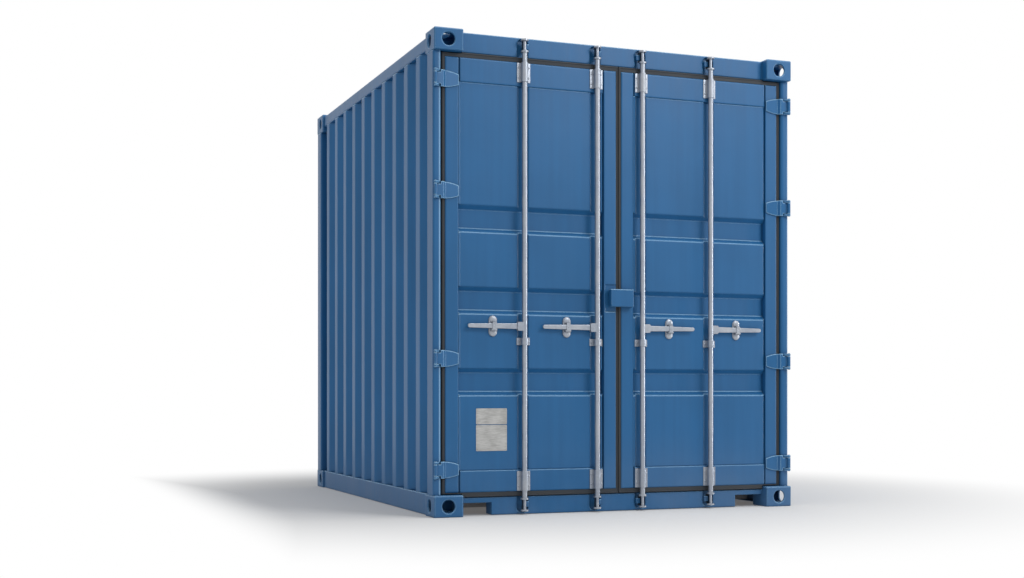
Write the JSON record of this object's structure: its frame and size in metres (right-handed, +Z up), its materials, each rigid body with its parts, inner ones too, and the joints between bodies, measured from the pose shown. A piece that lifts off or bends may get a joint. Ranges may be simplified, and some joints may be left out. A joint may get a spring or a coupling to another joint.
{
  "type": "shipping container",
  "caption": "Ten-foot high-cube freight container with corrugated walls, corner castings and hinged double doors with turning lock rods and lift-up handles.",
  "frame": {"origin": "on the ground, under the middle of the container", "axes": "+Z up, doors face -Y, +X to the right of someone facing the doors"},
  "size_m": [2.438, 2.991, 2.896],
  "materials": {
    "blue_paint": "satin marine paint",
    "casting_paint": "satin paint over cast steel",
    "galvanized_steel": "galvanized",
    "gasket_rubber": "matt",
    "plywood": "varnished hardwood plywood",
    "underframe_paint": "satin paint"
  },
  "bodies": {
    "frame": {"left_door_post": "blue_paint", "right_door_post": "blue_paint", "left_rear_post": "blue_paint", "right_rear_post": "blue_paint", "door_header": "blue_paint", "door_sill": "blue_paint", "rear_top_rail": "blue_paint", "rear_bottom_rail": "blue_paint", "left_top_rail": "blue_paint", "right_top_rail": "blue_paint", "left_bottom_rail": "blue_paint", "right_bottom_rail": "blue_paint", "left_wall": "blue_paint", "right_wall": "blue_paint", "rear_wall": "blue_paint", "roof_panel": "blue_paint", "left_hinge_lugs": "blue_paint", "right_hinge_lugs": "blue_paint", "bottom_corner_castings": "casting_paint", "top_corner_castings": "casting_paint", "floor_boards": "plywood", "cross_members": "underframe_paint", "top_keepers": "blue_paint", "bottom_keepers": "blue_paint"},
    "left_door": {"left_door_frame": "blue_paint", "left_door_panel": "blue_paint", "left_door_gasket": "gasket_rubber", "left_hinge_blades": "blue_paint", "left_rod_brackets": "galvanized_steel", "left_handle_seats": "galvanized_steel"},
    "right_door": {"right_door_frame": "blue_paint", "right_door_panel": "blue_paint", "right_door_gasket": "gasket_rubber", "right_hinge_blades": "blue_paint", "right_rod_brackets": "galvanized_steel", "right_handle_seats": "galvanized_steel", "lock_box": "blue_paint"},
    "lock_rod_1": {"lock_rod_1": "galvanized_steel"},
    "handle_1": {"handle_1": "galvanized_steel"},
    "lock_rod_2": {"lock_rod_2": "galvanized_steel"},
    "handle_2": {"handle_2": "galvanized_steel"},
    "lock_rod_3": {"lock_rod_3": "galvanized_steel"},
    "handle_3": {"handle_3": "galvanized_steel"},
    "lock_rod_4": {"lock_rod_4": "galvanized_steel"},
    "handle_4": {"handle_4": "galvanized_steel"}
  },
  "joints": [
    {"name": "left_door_hinge", "type": "hinge", "parent": "frame", "child": "left_door", "pos_m": [-1.2085, -1.485, 1.44], "axis": [0, 0, -1], "range_deg": [0, 268]},
    {"name": "right_door_hinge", "type": "hinge", "parent": "frame", "child": "right_door", "pos_m": [1.2085, -1.485, 1.44], "axis": [0, 0, 1], "range_deg": [0, 268]},
    {"name": "lock_rod_1_turn", "type": "hinge", "parent": "left_door", "child": "lock_rod_1", "pos_m": [-0.638, -1.4705, 1.139], "axis": [0, 0, -1], "range_deg": [-100, 0]},
    {"name": "handle_1_lift", "type": "hinge", "parent": "lock_rod_1", "child": "handle_1", "pos_m": [-0.674, -1.4705, 1.139], "axis": [0, -1, 0], "range_deg": [-30, 0]},
    {"name": "lock_rod_2_turn", "type": "hinge", "parent": "left_door", "child": "lock_rod_2", "pos_m": [-0.155, -1.4705, 1.139], "axis": [0, 0, -1], "range_deg": [-100, 0]},
    {"name": "handle_2_lift", "type": "hinge", "parent": "lock_rod_2", "child": "handle_2", "pos_m": [-0.191, -1.4705, 1.139], "axis": [0, -1, 0], "range_deg": [-30, 0]},
    {"name": "lock_rod_3_turn", "type": "hinge", "parent": "right_door", "child": "lock_rod_3", "pos_m": [0.155, -1.4705, 1.139], "axis": [0, 0, 1], "range_deg": [-100, 0]},
    {"name": "handle_3_lift", "type": "hinge", "parent": "lock_rod_3", "child": "handle_3", "pos_m": [0.191, -1.4705, 1.139], "axis": [0, 1, 0], "range_deg": [-30, 0]},
    {"name": "lock_rod_4_turn", "type": "hinge", "parent": "right_door", "child": "lock_rod_4", "pos_m": [0.638, -1.4705, 1.139], "axis": [0, 0, 1], "range_deg": [-100, 0]},
    {"name": "handle_4_lift", "type": "hinge", "parent": "lock_rod_4", "child": "handle_4", "pos_m": [0.674, -1.4705, 1.139], "axis": [0, 1, 0], "range_deg": [-30, 0]}
  ]
}
